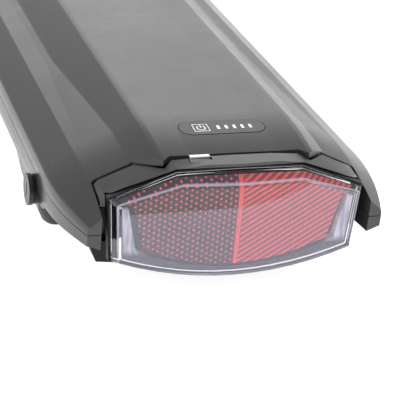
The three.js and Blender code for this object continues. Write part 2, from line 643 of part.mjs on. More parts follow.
// ---------------------------------------------------------------- charging socket in the right flank
function addCharging() {
  const shellBody = bar('x', 4.7, 58, 67.3, chargeY, chargeZ);
  const well = bar('x', 3.3, 60, 68, chargeY, chargeZ);
  const back = bar('x', 1.2, 57, 61, chargeY, chargeZ, 12);
  addPart('charge_socket', cut(shellBody, well, back), 'dark');
  addPart('charge_pin', bar('x', 0.9, 55.5, 65, chargeY, chargeZ, 12), 'brass');
  const flapOutline = roundedRectangle(chargeY - 6.7, chargeY + 6.7, chargeZ - 5.7, chargeZ + 5.7, 2.6);
  const flap = prism('x', flapOutline, 70, 71.4);
  const stopper = bar('x', 3, 66.4, 70.5, chargeY, chargeZ)
    .subtract(bar('x', 1.6, 66, 69.5, chargeY, chargeZ, 12));
  const strap = box(70, 71, chargeY + 6, chargeHingeY - 0.4, chargeZ - 3, chargeZ + 3);
  addPart('charge_cover', union(flap, stopper, strap), 'rubber');
  const anchor = box(69.9, 71, chargeHingeY + 0.8, chargeHingeY + 5, chargeZ - 3, chargeZ + 3);
  addPart('charge_cover_anchor', anchor, 'rubber');
}

// ---------------------------------------------------------------- cells
function cellGroup(places, middleY) {
  const ends = [middleY - cellLength / 2, middleY + cellLength / 2];
  const cans = places.map(([x, z]) => bar('y', cellRadius, ends[0], ends[1], x, z, 18));
  const xs = places.map(([x]) => x);
  const zs = places.map(([, z]) => z);
  const plates = ends.map((y) => box(Math.min(...xs) - 5, Math.max(...xs) + 5, y - 0.3, y + 0.3,
    Math.min(...zs) - 4, Math.max(...zs) + 4));
  return union(...cans, ...plates);
}

function addCells() {
  const half = cellPitch / 2;
  let number = 0;
  const add = (places, middleY) => {
    number += 1;
    addPart(`cell_group_${String(number).padStart(2, '0')}`, cellGroup(places, middleY), 'cell');
  };
  for (let bank = 0; bank < 3; bank += 1) {
    for (const column of [-2, 0, 2]) {
      const x = column * (cellPitch + 0.1);
      const places = [[x - half, lowerCellZ], [x + half, lowerCellZ], [x - half, lowerCellZ + cellPitch],
        [x + half, lowerCellZ + cellPitch]];
      add(places, firstBankY + bank * bankPitch);
    }
  }
  add([-3, -1, 1, 3].map((k) => [k * half, topCellZ]), firstBankY);
  for (let i = 0; i < 4; i += 1) {
    const y = firstBankY + (i - 0.5) * bankPitch;
    addPart(`cell_spacer_${i + 1}`, box(-51, 51, y - 0.7, y + 0.7, 3.6, 40.2), 'pale');
  }
}

// ---------------------------------------------------------------- electronics and wiring
function wire(points, radius, steps, sides = 8) {
  const path = new THREE.CatmullRomCurve3(points.map(([x, y, z]) => new THREE.Vector3(x, y, z)));
  const shape = new THREE.Shape(Array.from({ length: sides }, (_, i) => {
    const angle = (i / sides) * Math.PI * 2;
    return new THREE.Vector2(radius * Math.cos(angle), radius * Math.sin(angle));
  }));
  return toSolid(new THREE.ExtrudeGeometry(shape, { extrudePath: path, steps, bevelEnabled: false }));
}

function addElectronics() {
  const board = box(-30, 30, -22, 72, 45, 46.6);
  const switches = Array.from({ length: 6 }, (_, i) => box(-26 + i * 9, -20 + i * 9, 56, 64, 46.5, 49));
  const capacitors = [[-18, 20], [-6, 20]].map(([x, y]) => bar('z', 4, 46.5, 54, x, y, 16));
  const sockets = box(8, 26, -18, -11, 46.5, 52);
  const chip = box(-6, 4, 0, 10, 46.5, 48.2);
  addPart('management_board', union(board, ...switches, ...capacitors, sockets, chip), 'board');
  const corners = [[-25, -17], [25, -17], [-25, 67], [25, 67]];
  const posts = corners.map(([x, y]) => bar('z', 2.2, 42, 44.7, x, y, 10));
  addPart('board_heat_plate', union(box(-28, 28, -20, 70, 40.9, 42.4), ...posts), 'bright');
  const holder = cut(box(-40, -22, 112, 134, 22, 31), box(-37, -25, 115, 131, 25, 32));
  addPart('fuse_holder', holder, 'dark');
  const fuseBlade = box(-35.5, -26.5, 115.6, 130.4, 25.6, 27.4);
  addPart('main_fuse', union(box(-36.6, -25.4, 119, 127, 25.4, 36), fuseBlade), 'positive');
}

// Wires between the board, the contacts, the lamp, the panel and the charging socket.
function addWiring() {
  const contactEnd = [145.2, 19];
  addPart('positive_wire', wire([[-20, 123, 27], [-15, 126, 25], [-contactX, 138, 19.4],
    [-contactX, ...contactEnd]], 1.9, 14), 'positive');
  addPart('negative_wire', wire([[22, 72.6, wireStartZ], [22, 88, 46], [19, 108, 42], [contactX, 134, 22],
    [contactX, ...contactEnd]], 1.9, 22), 'negative');
  addPart('light_cable', wire([[0, -170, 40], [0, -157, 40], [14, -142, 41], [40, -118, 43.4],
    [45, -96, 43], [45, -50, 43], [41, -26, 43.6], [32, -15, wireStartZ]], 1.6, 44), 'negative');
  addPart('status_cable', wire([[-18.8, -149, 54], [-30, -138, 50], [-42, -118, 44], [-45, -96, 43],
    [-45, -50, 43], [-41, -26, 43.6], [-32, -15, wireStartZ]], 1.4, 40), 'negative');
  addPart('charge_cable', wire([[54, -127.6, 27.2], [52, -121, 29], [58, -108, 32], [61, -90, 33],
    [61, -20, 33], [56, -2, 40], [44, 8, 43.6], [32, 14, wireStartZ]], 1.5, 48), 'positive');
}

addCase();
addNose();
addLamp();
addHood();
addTailCover();
addStatus();
addLock();
addCharging();
addCells();
addElectronics();
addWiring();

export default pack;
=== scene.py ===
"""Looks of the carrier battery pack with its built-in rear lamp.

Shapes are written in millimetres and turned into metres when a mesh is made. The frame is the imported
model's: -Y is the tail with the lamp, +X the right side seen from the tail, Z = 0 the flat underside.
"""
import json
import math

import bmesh
import bpy
from mathutils import Matrix, Vector


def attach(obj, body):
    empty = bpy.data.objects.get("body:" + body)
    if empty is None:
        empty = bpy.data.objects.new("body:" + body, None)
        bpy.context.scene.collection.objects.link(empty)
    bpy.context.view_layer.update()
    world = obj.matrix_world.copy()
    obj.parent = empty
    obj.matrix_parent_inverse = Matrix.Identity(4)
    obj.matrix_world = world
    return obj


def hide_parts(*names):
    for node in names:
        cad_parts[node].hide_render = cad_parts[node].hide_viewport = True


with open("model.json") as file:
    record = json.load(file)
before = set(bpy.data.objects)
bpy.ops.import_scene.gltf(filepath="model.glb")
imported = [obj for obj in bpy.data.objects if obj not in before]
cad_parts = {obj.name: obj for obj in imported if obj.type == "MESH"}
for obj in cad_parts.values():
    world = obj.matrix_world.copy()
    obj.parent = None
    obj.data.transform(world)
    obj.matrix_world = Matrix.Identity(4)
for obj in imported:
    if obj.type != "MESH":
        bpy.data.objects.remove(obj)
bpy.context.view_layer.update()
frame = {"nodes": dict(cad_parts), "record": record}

MM = 0.001
BODY_OF = {node: body for body, nodes in frame["record"]["behaviour"]["bodies"].items() for node in nodes}


# ---------------------------------------------------------------- driving dimensions, millimetres
GAP = 0.3
TAIL_Y = -186.0
SHELL_END_Y = 176.0
HALF_WIDTH = 69.6
ROOF_Z = 61.7
SPLIT_Z = 33.0
WALL = 2.4
BAY_Y = -162.4
CAVITY_BACK_Y = -160.0
BAY_HALF_WIDTH = 55.8
DROP_START_Y = -138.0
DROP_RADIUS = 190.0
FACET_START_Y = -46.0
FACET_END_Y = -138.0
TAPER_START_Y = -136.0      # the flanks close in from here to the tail
NOSE_START_Y = 150.0        # the roof and the flanks close in from here to the nose
NOSE_LENGTH = 36.0
SMOOTH_START_Y = -130.0     # the sections stand closer together behind this place
RIDGE_X, RIDGE_Z = 31.5, 62.2
STEADY_X = 50.0             # only what lies outside this narrows with the flanks
CLEAR_TOP_Z = 90.0          # cutting tools reach up to here, well above the roof
BAY_OPEN_Y = TAIL_Y - 10    # and out to here behind the tail
PANEL_X, PANEL_Y = 0.8, -152.5
PANEL_LENGTH, PANEL_WIDTH = 37.0, 11.4
LED_FIRST_X, LED_PITCH, LED_COUNT = -1.5, 3.42, 5
BUTTON_X = -8.9


def clamp(value, low, high):
    return max(low, min(high, value))


# ---------------------------------------------------------------- mesh helpers
def make_object(name, points, faces):
    mesh = bpy.data.meshes.new(name)
    mesh.from_pydata([Vector(point) * MM for point in points], [], faces)
    work = bmesh.new()
    work.from_mesh(mesh)
    bmesh.ops.remove_doubles(work, verts=work.verts, dist=1e-7)
    bmesh.ops.recalc_face_normals(work, faces=work.faces)
    work.to_mesh(mesh)
    work.free()
    obj = bpy.data.objects.new(name, mesh)
    bpy.context.scene.collection.objects.link(obj)
    return obj


def loft(name, axis, sections):
    """A skin through (position, outline) sections, closed at both ends."""
    count = len(sections[0][1])
    points = []
    for at, outline in sections:
        for u, v in outline:
            points.append({"x": (at, u, v), "y": (u, at, v), "z": (u, v, at)}[axis])
    faces = []
    for row in range(len(sections) - 1):
        for i in range(count):
            j = (i + 1) % count
            low = row * count
            high = low + count
            faces.append((low + i, low + j, high + j, high + i))
    last = (len(sections) - 1) * count
    faces.append(tuple(range(count)))
    faces.append(tuple(last + i for i in reversed(range(count))))
    return make_object(name, points, faces)


def prism(name, axis, outline, start, end):
    return loft(name, axis, [(start, outline), (end, outline)])


def block(name, x0, x1, y0, y1, z0, z1):
    return prism(name, "z", [(x0, y0), (x1, y0), (x1, y1), (x0, y1)], z0, z1)


def bar(name, axis, radius, start, end, a, b, segments=48):
    ring = []
    for i in range(segments):
        angle = 2 * math.pi * i / segments
        ring.append((a + radius * math.cos(angle), b + radius * math.sin(angle)))
    return prism(name, axis, ring, start, end)


def remove(obj):
    mesh = obj.data
    bpy.data.objects.remove(obj)
    if mesh.users == 0:
        bpy.data.meshes.remove(mesh)


def apply_modifiers(obj):
    graph = bpy.context.evaluated_depsgraph_get()
    fresh = bpy.data.meshes.new_from_object(obj.evaluated_get(graph))
    old = obj.data
    obj.modifiers.clear()
    obj.data = fresh
    bpy.data.meshes.remove(old)


def combine(body, tool, operation="DIFFERENCE"):
    modifier = body.modifiers.new("combine", "BOOLEAN")
    modifier.operation = operation
    modifier.solver = "EXACT"
    modifier.object = tool
    apply_modifiers(body)
    remove(tool)
    return body


def tidy_faces(obj, merge_angle=0.6):
    """Merges coplanar neighbours so that a bevel finds clean edges."""
    work = bmesh.new()
    work.from_mesh(obj.data)
    bmesh.ops.remove_doubles(work, verts=work.verts, dist=2e-6)
    limit = math.radians(merge_angle)
    bmesh.ops.dissolve_limit(work, angle_limit=limit, verts=work.verts, edges=work.edges)
    work.to_mesh(obj.data)
    work.free()


def bevel(obj, width, segments=3, angle=32):
    modifier = obj.modifiers.new("bevel", "BEVEL")
    modifier.width = width * MM
    modifier.segments = segments
    modifier.limit_method = "ANGLE"
    modifier.angle_limit = math.radians(angle)
    modifier.use_clamp_overlap = True
    apply_modifiers(obj)


def smooth(obj, angle=28):
    obj.data.shade_smooth()
    obj.data.set_sharp_from_angle(angle=math.radians(angle))


def flatten_normals(obj):
    """Lets large faces keep their own normals, so that only the rounded edges are shaded round."""
    modifier = obj.modifiers.new("weighted", "WEIGHTED_NORMAL")
    modifier.keep_sharp = True
    modifier.weight = 80
    apply_modifiers(obj)


def settle(obj, node, material, also=()):
    """Names a finished piece after its node, gives it its material and lets it ride where the node rides."""
    obj.name = node + "_fine"
    obj.data.materials.clear()
    obj.data.materials.append(material)
    smooth(obj)
    flatten_normals(obj)
    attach(obj, BODY_OF[node])
    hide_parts(node, *also)


def node_copy(node):
    """A loose copy of a CAD node, to be made finer."""
    obj = bpy.data.objects.new(node + "_fine", frame["nodes"][node].data.copy())
    bpy.context.scene.collection.objects.link(obj)
    return obj


def refined(node, width, material, segments):
    """A copy of a CAD node with rounded edges takes the node's place."""
    obj = node_copy(node)
    tidy_faces(obj)
    bevel(obj, width, segments)
    settle(obj, node, material)


def inset(outline, distance):
    """Moves every point of a closed outline inward along its mitred corner."""
    area = sum(a[0] * b[1] - b[0] * a[1] for a, b in zip(outline, outline[1:] + outline[:1]))
    turn = 1 if area > 0 else -1
    moved = []
    for i, (u, v) in enumerate(outline):
        before = outline[i - 1]
        after = outline[(i + 1) % len(outline)]
        normals = []
        for p, q in ((before, (u, v)), ((u, v), after)):
            length = math.hypot(q[0] - p[0], q[1] - p[1]) or 1
            normals.append((-(q[1] - p[1]) / length * turn, (q[0] - p[0]) / length * turn))
        (ax, ay), (bx, by) = normals
        scale = distance / max(0.35, 1 + ax * bx + ay * by)
        moved.append((u + (ax + bx) * scale, v + (ay + by) * scale))
    return moved


def mirrored(half):
    """The right half of an outline, from top to bottom, completed with its mirror image."""
    return list(half) + [(-x, v) for x, v in reversed(half) if x > 1e-6]


def rounded(points, radii, steps=5):
    """An open line whose inner corners are replaced by arcs; radii has one entry per inner corner."""
    line = [points[0]]
    for i, radius in enumerate(radii):
        p, c, q = (Vector(point) for point in points[i:i + 3])
        back, ahead = p - c, q - c
        opening = back.angle(ahead)
        reach = radius / math.tan(opening / 2)
        reach = min(reach, 0.48 * back.length, 0.48 * ahead.length)
        start = c + back.normalized() * reach
        end = c + ahead.normalized() * reach
        for k in range(steps + 1):
            t = k / steps
            point = start * (1 - t) ** 2 + c * 2 * t * (1 - t) + end * t ** 2
            line.append((point.x, point.y))
    line.append(points[-1])
    return line


def rounded_rectangle(x0, x1, y0, y1, radius, steps=8):
    corners = [(x1 - radius, y1 - radius, 0), (x0 + radius, y1 - radius, 1),
               (x0 + radius, y0 + radius, 2), (x1 - radius, y0 + radius, 3)]
    points = []
    for cx, cy, quarter in corners:
        for i in range(steps + 1):
            angle = (quarter + i / steps) * math.pi / 2
            points.append((cx + radius * math.cos(angle), cy + radius * math.sin(angle)))
    return points


# ---------------------------------------------------------------- outer form of the case
def half_width_at(y):
    tail = max(0, TAPER_START_Y - y) / (TAPER_START_Y - TAIL_Y)
    nose = max(0, y - NOSE_START_Y) / NOSE_LENGTH
    return HALF_WIDTH - 8.6 * tail ** 2.2 - 5 * nose ** 2


def drop_at(y):
    tail = max(0, DROP_START_Y - y)
    nose = max(0, y - NOSE_START_Y)
    return tail ** 2 / (2 * DROP_RADIUS) + nose ** 2 / 500


# Radii of the roof's corners, from the middle to the shoulder.
ROOF_RADII = (0.8, 5, 6, 9, 3.2, 3.0, 2.2)


def upper_half(y):
    """Right half of the upper shell's section, from the middle of the roof to the shoulder."""
    facet = clamp((FACET_START_Y - y) / (FACET_START_Y - FACET_END_Y), 0, 1)
    foot_x = 46.5 - 5.3 * facet
    foot_z = RIDGE_Z - (foot_x - RIDGE_X) * 0.7267
    drop = drop_at(y)
    half = [(0, ROOF_Z - drop), (18.5, ROOF_Z - drop), (RIDGE_X, RIDGE_Z - drop), (foot_x, foot_z - drop),
            (49.5 + 4 * facet, 49.9 - 0.9 * facet - drop), (57, 47.3 - drop), (68.9, 39.3 - 0.6 * drop),
            (HALF_WIDTH, 36.5 - 0.4 * drop), (HALF_WIDTH, SPLIT_Z)]
    narrow = (half_width_at(y) - STEADY_X) / (HALF_WIDTH - STEADY_X)
    return [(STEADY_X + (x - STEADY_X) * narrow if x > STEADY_X else x, z) for x, z in half]


def upper_section(y, inward=0.0, floor_z=SPLIT_Z):
    """The whole section: rounded outside, and with plain corners where it is the inner wall."""
    line = upper_half(y) if inward else rounded(upper_half(y), ROOF_RADII)
    outline = mirrored(line)
    if inward:
        outline = inset(outline, inward)
    half = len(line)
    moved = []
    for i, (x, z) in enumerate(outline):
        moved.append((x, floor_z if i in (half - 1, half) else z))
    return moved


def stations(start, end, step):
    count = max(1, math.ceil((end - start) / step))
    return [start + (end - start) * i / count for i in range(count + 1)]


def upper_loft(name, start, end, inward, floor_z):
    """The case's form between two places, with close sections where it bends."""
    places = stations(start, SMOOTH_START_Y, 2.5)
    places += stations(SMOOTH_START_Y, NOSE_START_Y, 9)[1:]
    places += stations(NOSE_START_Y, end, 3)[1:]
    return loft(name, "y", [(y, upper_section(y, inward, floor_z)) for y in places])


# Right half of the bay's front edge, seen from above.
BAY_FRONT = [(0, -172.1), (26.8, -172.5), (30.3, -175.7), (39.7, -165.9), (54.4, -164)]


def bay_outline(clearance=0.0, half_width=BAY_HALF_WIDTH):
    """Plan outline of the bay in the tail; a clearance moves its front edge back from the shell."""
    half = [(x, y - clearance) for x, y in BAY_FRONT]
    return mirrored(half + [(half_width, -165 - clearance), (half_width, BAY_OPEN_Y)])


PANEL_Z = ROOF_Z - drop_at(PANEL_Y)
PANEL_TILT = (DROP_START_Y - PANEL_Y) / DROP_RADIUS


def on_roof(obj):
    """Moves a piece made around the origin onto the bent roof, where the status panel sits."""
    place = Matrix.Translation(Vector((PANEL_X, PANEL_Y, PANEL_Z)) * MM) @ Matrix.Rotation(PANEL_TILT, 4, "X")
    obj.data.transform(place)
    return obj


# ---------------------------------------------------------------- materials
class Look:
    """A small builder for one node material around a Principled shader."""

    def __init__(self, name, **values):
        self.material = bpy.data.materials.new(name)
        self.material.use_nodes = True
        self.tree = self.material.node_tree
        self.shader = self.tree.nodes["Principled BSDF"]
        self.output = self.tree.nodes["Material Output"]
        for socket, value in values.items():
            self.shader.inputs[socket.replace("_", " ")].default_value = value
        self.place = self.add("ShaderNodeTexCoord").outputs["Object"]

    def add(self, kind, inputs=None, **settings):
        node = self.tree.nodes.new(kind)
        for name, value in settings.items():
            setattr(node, name, value)
        for name, value in (inputs or {}).items():
            if isinstance(value, bpy.types.NodeSocket):
                self.tree.links.new(value, node.inputs[name])
            else:
                node.inputs[name].default_value = value
        return node

    def join(self, output, socket):
        self.tree.links.new(output, self.shader.inputs[socket])

    def noise(self, scale, detail=2.0, roughness=0.5, place=None):
        inputs = {"Vector": place or self.place, "Scale": scale, "Detail": detail, "Roughness": roughness}
        return self.add("ShaderNodeTexNoise", inputs).outputs["Fac"]

    def math(self, operation, a, b=0.0):
        return self.add("ShaderNodeMath", {0: a, 1: b}, operation=operation).outputs[0]

    def ramp(self, value, low, high, to_low=0.0, to_high=1.0):
        inputs = {"Value": value, "From Min": low, "From Max": high, "To Min": to_low, "To Max": to_high}
        return self.add("ShaderNodeMapRange", inputs).outputs["Result"]

    def mix(self, factor, first, second):
        node = self.add("ShaderNodeMix", data_type="RGBA")
        for index, value in ((0, factor), (6, first), (7, second)):
            if isinstance(value, bpy.types.NodeSocket):
                self.tree.links.new(value, node.inputs[index])
            else:
                node.inputs[index].default_value = value
        return node.outputs[2]

    def bump(self, height, strength, distance):
        node = self.add("ShaderNodeBump", {"Height": height, "Strength": strength, "Distance": distance})
        self.join(node.outputs["Normal"], "Normal")

    def edges(self):
        """One on convex edges, where a used piece is worn, and zero on faces."""
        return self.ramp(self.add("ShaderNodeNewGeometry").outputs["Pointiness"], 0.52, 0.6)


def moulded(name, colour, roughness, grain=1100, relief=0.05, wear=0.2, **values):
    """Injection-moulded plastic: fine erosion grain, slow gloss variation and paler edges."""
    look = Look(name, IOR=1.54, **values)
    fine = look.noise(grain, 3.0, 0.6)
    slow = look.noise(22, 3.0, 0.55)
    streaks = look.noise(160, 2.0, 0.5)
    worn = tuple(min(1, c * 1.9 + 0.012) for c in colour)
    shade = look.mix(look.ramp(slow, 0.3, 0.7, 0.0, 0.35), (*colour, 1), (*(c * 1.18 for c in colour), 1))
    edge = look.math("MULTIPLY", look.edges(), wear)
    look.join(look.mix(edge, shade, (*worn, 1)), "Base Color")
    gloss = look.math("ADD", look.ramp(slow, 0.25, 0.75, roughness - 0.035, roughness + 0.035),
                      look.ramp(streaks, 0.3, 0.7, -0.015, 0.015))
    look.join(gloss, "Roughness")
    look.bump(fine, relief, 0.00006)
    return look.material


def metal(name, colour, roughness):
    """Brushed metal with duller patches and bright worn edges."""
    look = Look(name, Metallic=1.0)
    stretch = look.add("ShaderNodeMapping", {"Vector": look.place, "Scale": (0.12, 1.0, 1.0)})
    brushed = look.noise(900, 3.0, 0.6, stretch.outputs["Vector"])
    slow = look.noise(70, 2.0, 0.5)
    dull = tuple(c * 0.8 for c in colour)
    shade = look.mix(look.ramp(slow, 0.35, 0.7), (*colour, 1), (*dull, 1))
    edge = look.math("MULTIPLY", look.edges(), 0.3)
    look.join(look.mix(edge, shade, (0.95, 0.95, 0.95, 1)), "Base Color")
    look.join(look.ramp(brushed, 0.3, 0.7, roughness - 0.07, roughness + 0.07), "Roughness")
    look.bump(brushed, 0.15, 0.00005)
    return look.material


def board_look(name, colour):
    """Printed circuit board: solder mask with copper tracks and vias."""
    look = Look(name, IOR=1.5)
    tracks = look.add("ShaderNodeTexBrick", {"Vector": look.place, "Scale": 260.0, "Mortar Size": 0.018})
    tracks.inputs["Color1"].default_value = (*colour, 1)
    tracks.inputs["Color2"].default_value = (*(c * 0.8 for c in colour), 1)
    tracks.inputs["Mortar"].default_value = (*(min(1, c * 2.2 + 0.01) for c in colour), 1)
    slow = look.noise(60, 2.0, 0.5)
    patches = look.ramp(slow, 0.3, 0.7, 0, 0.3)
    look.join(look.mix(patches, tracks.outputs["Color"], (0.01, 0.05, 0.025, 1)), "Base Color")
    look.join(look.ramp(slow, 0.3, 0.7, 0.32, 0.48), "Roughness")
    look.bump(tracks.outputs["Fac"], 0.2, 0.00005)
    return look.material


def blend_shaders(look, factor, first, second):
    """The first shader where the factor is 0, the second where it is 1."""
    mix = look.add("ShaderNodeMixShader", {"Fac": factor})
    look.tree.links.new(first, mix.inputs[1])
    look.tree.links.new(second, mix.inputs[2])
    return mix.outputs[0]


REFLECTION_EDGE_Z = 41.2 * MM     # the lens front carries a faint painted reflection below this height, left of the middle
REFLECTION_EDGE_X = -6.0 * MM     # right of here the edge of the painted reflection curves upwards
REFLECTION_EDGE_BEND = 7.2        # rise in metres per square metre
REFLECTION_SHARE = 0.13
EDGE_HIGHLIGHT_SHARE = 0.45           # how far the rounded front edge of the lens is painted white, as a highlight
PAINTED_LIGHT_WHITE = (0.80, 0.79, 1.0, 1)


def lens_look():
    """Clear polycarbonate: a painted reflection low on the front, a painted highlight on the front edge, and
    a pale shadow.
    """
    look = Look("clear_polycarbonate", IOR=1.5, Roughness=0.02, Transmission_Weight=1.0)
    scuff = look.noise(420, 3.0, 0.6)
    slow = look.noise(35, 2.0, 0.5)
    look.join(look.mix(look.ramp(slow, 0.3, 0.7), (0.93, 0.92, 0.97, 1), (0.96, 0.95, 0.99, 1)), "Base Color")
    look.join(look.ramp(scuff, 0.35, 0.7, 0.01, 0.04), "Roughness")
    look.bump(slow, 0.05, 0.0002)
    axes = look.add("ShaderNodeSeparateXYZ", {0: look.place}).outputs
    past = look.math("MAXIMUM", look.math("SUBTRACT", axes["X"], REFLECTION_EDGE_X), 0.0)
    rise = look.math("MULTIPLY", look.math("MULTIPLY", past, past), REFLECTION_EDGE_BEND)
    height = look.math("SUBTRACT", axes["Z"], rise)
    below = look.ramp(height, REFLECTION_EDGE_Z + 0.3 * MM, REFLECTION_EDGE_Z - 0.3 * MM)
    front = look.ramp(axes["Y"], (TAIL_Y + 0.5) * MM, (TAIL_Y + 0.2) * MM)
    # Painted reflection: milky white is mixed into the front face below the curved edge.
    painted_light = look.math("MULTIPLY", look.math("MULTIPLY", below, front), REFLECTION_SHARE)
    # Painted highlight: the rounded front edge is mixed towards the same white.
    outer_side = look.ramp(axes["Y"], (TAIL_Y + 0.02) * MM, (TAIL_Y + 0.12) * MM)
    inner_side = look.ramp(axes["Y"], (TAIL_Y + 1.0) * MM, (TAIL_Y + 0.5) * MM)
    edge_highlight = look.math("MULTIPLY", look.math("MULTIPLY", outer_side, inner_side), EDGE_HIGHLIGHT_SHARE)
    painted_light = look.math("MAXIMUM", painted_light, edge_highlight)
    # The milky white that carries the painted reflection and the painted edge highlight.
    painted_light_shader = look.add("ShaderNodeBsdfDiffuse", {"Color": PAINTED_LIGHT_WHITE}).outputs[0]
    surface = blend_shaders(look, painted_light, look.shader.outputs[0], painted_light_shader)
    clear = look.add("ShaderNodeBsdfTransparent", {"Color": (0.95, 0.94, 0.98, 1)}).outputs[0]
    shadow = look.add("ShaderNodeLightPath").outputs["Is Shadow Ray"]
    look.tree.links.new(blend_shaders(look, shadow, surface, clear), look.output.inputs["Surface"])
    return look.material


HEX_PITCH = 2.35 * MM
STRIPE_PITCH = 2.05 * MM
STRIPE_ANGLE = 32
WHOLE_PITCHES = 100         # added before taking a fraction, so that it is never of a negative number


def reflector_look():
    """Prismatic reflector: round prisms on the left half, slanting rows of prisms on the right half, and a
    painted glow on the bright prisms.
    """
    look = Look("reflector_red", IOR=1.5)
    axes = look.add("ShaderNodeSeparateXYZ", {0: look.place})
    x, z = axes.outputs["X"], axes.outputs["Z"]
    rise = HEX_PITCH * math.sqrt(3)

    def from_centre(value, pitch, shift):
        share = look.math("FRACT", look.math("ADD", look.math("DIVIDE", value, pitch), WHOLE_PITCHES + shift))
        return look.math("MULTIPLY", look.math("SUBTRACT", share, 0.5), pitch)

    def distance(shift):
        u = from_centre(z, HEX_PITCH, shift)
        v = from_centre(x, rise, shift)
        squares = look.math("ADD", look.math("MULTIPLY", u, u), look.math("MULTIPLY", v, v))
        return look.math("SQRT", squares)

    nearest = look.math("MINIMUM", distance(0.0), distance(0.5))
    dots = look.ramp(nearest, 0.56 * MM, 0.30 * MM)
    slant = math.radians(STRIPE_ANGLE)
    across = look.math("ADD", look.math("MULTIPLY", z, math.cos(slant)),
                       look.math("MULTIPLY", x, -math.sin(slant)))
    along = look.math("ADD", look.math("MULTIPLY", z, math.sin(slant)),
                      look.math("MULTIPLY", x, math.cos(slant)))
    off_stripe = look.math("ABSOLUTE", from_centre(across, STRIPE_PITCH, 0.0))
    off_bead = look.math("ABSOLUTE", from_centre(along, STRIPE_PITCH * 0.6, 0.0))
    stripe = look.ramp(off_stripe, 0.80 * MM, 0.20 * MM)
    beads = look.ramp(off_bead, 0.55 * MM, 0.1 * MM, 0.75, 1.0)
    stripes = look.math("MULTIPLY", stripe, beads)
    right = look.ramp(x, 1.0 * MM, 1.3 * MM)
    pattern = look.math("ADD", look.math("MULTIPLY", dots, look.math("SUBTRACT", 1.0, right)),
                        look.math("MULTIPLY", stripes, right))
    rib = look.ramp(look.math("ABSOLUTE", x), 1.25 * MM, 0.7 * MM, 0.0, 0.85)
    sparkle = look.ramp(look.noise(500, 2.0, 0.6), 0.35, 0.6, 0.85, 1.0)
    lit = look.math("MULTIPLY", look.math("MAXIMUM", pattern, rib), sparkle)
    slow = look.ramp(look.noise(70, 2.0, 0.5), 0.35, 0.65)
    deep = look.mix(slow, (0.030, 0.016, 0.022, 1), (0.060, 0.020, 0.028, 1))
    ground = look.mix(right, deep, (0.25, 0.040, 0.052, 1))
    look.join(look.mix(lit, ground, (0.95, 0.09, 0.09, 1)), "Base Color")
    # Painted glow: the bright prisms are given an emission of their own, though the reflector is no lamp.
    look.join(look.mix(lit, (0, 0, 0, 1), (1.0, 0.10, 0.09, 1)), "Emission Color")
    look.shader.inputs["Emission Strength"].default_value = 0.32
    look.join(look.ramp(lit, 0, 1, 0.5, 0.3), "Roughness")
    look.bump(look.math("MAXIMUM", pattern, rib), 0.04, 0.0002)
    return look.material


def frosted_look(name, colour, painted_glow):
    """Pale frosted plastic with a fine grain and a painted glow that keeps it bright."""
    look = Look(name, IOR=1.5, Subsurface_Weight=0.25, Subsurface_Scale=0.003)
    slow = look.noise(120, 3.0, 0.6)
    ribs = look.noise(900, 2.0, 0.5)
    shade = tuple(c * 0.86 for c in colour)
    look.join(look.mix(look.ramp(slow, 0.35, 0.65), (*colour, 1), (*shade, 1)), "Base Color")
    look.join(look.ramp(ribs, 0.3, 0.7, 0.28, 0.42), "Roughness")
    # Painted glow: an emission keeps the marks bright white, though they give no light.
    look.shader.inputs["Emission Color"].default_value = (*colour, 1)
    look.shader.inputs["Emission Strength"].default_value = painted_glow
    look.bump(ribs, 0.25, 0.0001)
    return look.material


GUIDE_SHADE_Z = 25.0 * MM     # the light guide is painted darker below this height, as shade


def guide_look():
    """Frosted light guide: bright legs with soft vertical streaks, a lower strip darkened by painted shade,
    and a painted glow.
    """
    look = Look("light_guide_frosted", IOR=1.5, Subsurface_Weight=0.25, Subsurface_Scale=0.003)
    squeeze = look.add("ShaderNodeMapping", {"Vector": look.place, "Scale": (6.0, 1.0, 0.6)})
    streaks = look.noise(110, 2.0, 0.5, squeeze.outputs["Vector"])
    ribs = look.noise(900, 2.0, 0.5)
    height = look.add("ShaderNodeSeparateXYZ", {0: look.place}).outputs["Z"]
    # Painted shade: below this height the frosted guide is made nearly black.
    low = look.ramp(height, GUIDE_SHADE_Z, GUIDE_SHADE_Z - 3 * MM)
    legs = look.mix(look.ramp(streaks, 0.38, 0.62), (0.36, 0.36, 0.43, 1), (0.74, 0.74, 0.82, 1))
    colour_with_painted_shade = look.mix(low, legs, (0.035, 0.034, 0.048, 1))
    look.join(colour_with_painted_shade, "Base Color")
    # Painted glow: the guide's colour is also given as emission, to make it look brighter.
    look.join(colour_with_painted_shade, "Emission Color")
    look.shader.inputs["Emission Strength"].default_value = 0.16
    look.join(look.ramp(ribs, 0.3, 0.7, 0.26, 0.42), "Roughness")
    look.bump(streaks, 0.3, 0.0003)
    return look.material


TAB_SHADED_LIP_Z = 58.4 * MM       # the metal tab's front lip lies below this height and is painted darker there, as shade


def tab_look():
    """Pressed metal tab, brushed: the top is painted bright as lit and the front lip painted darker as shade.
    """
    look = Look("latch_metal", Metallic=1.0)
    brushed = look.noise(900, 3.0, 0.6)
    height = look.add("ShaderNodeSeparateXYZ", {0: look.place}).outputs["Z"]
    # Painted light and shade: the top gets the bright metal colour, the front lip below it a darker one.
    top = look.ramp(height, TAB_SHADED_LIP_Z, TAB_SHADED_LIP_Z + 0.3 * MM)
    shade = look.mix(top, (0.34, 0.34, 0.34, 1), (0.74, 0.74, 0.74, 1))
    edge = look.math("MULTIPLY", look.edges(), 0.3)
    look.join(look.mix(edge, shade, (0.9, 0.9, 0.9, 1)), "Base Color")
    look.join(look.ramp(brushed, 0.3, 0.7, 0.3, 0.44), "Roughness")
    look.bump(brushed, 0.1, 0.00005)
    return look.material


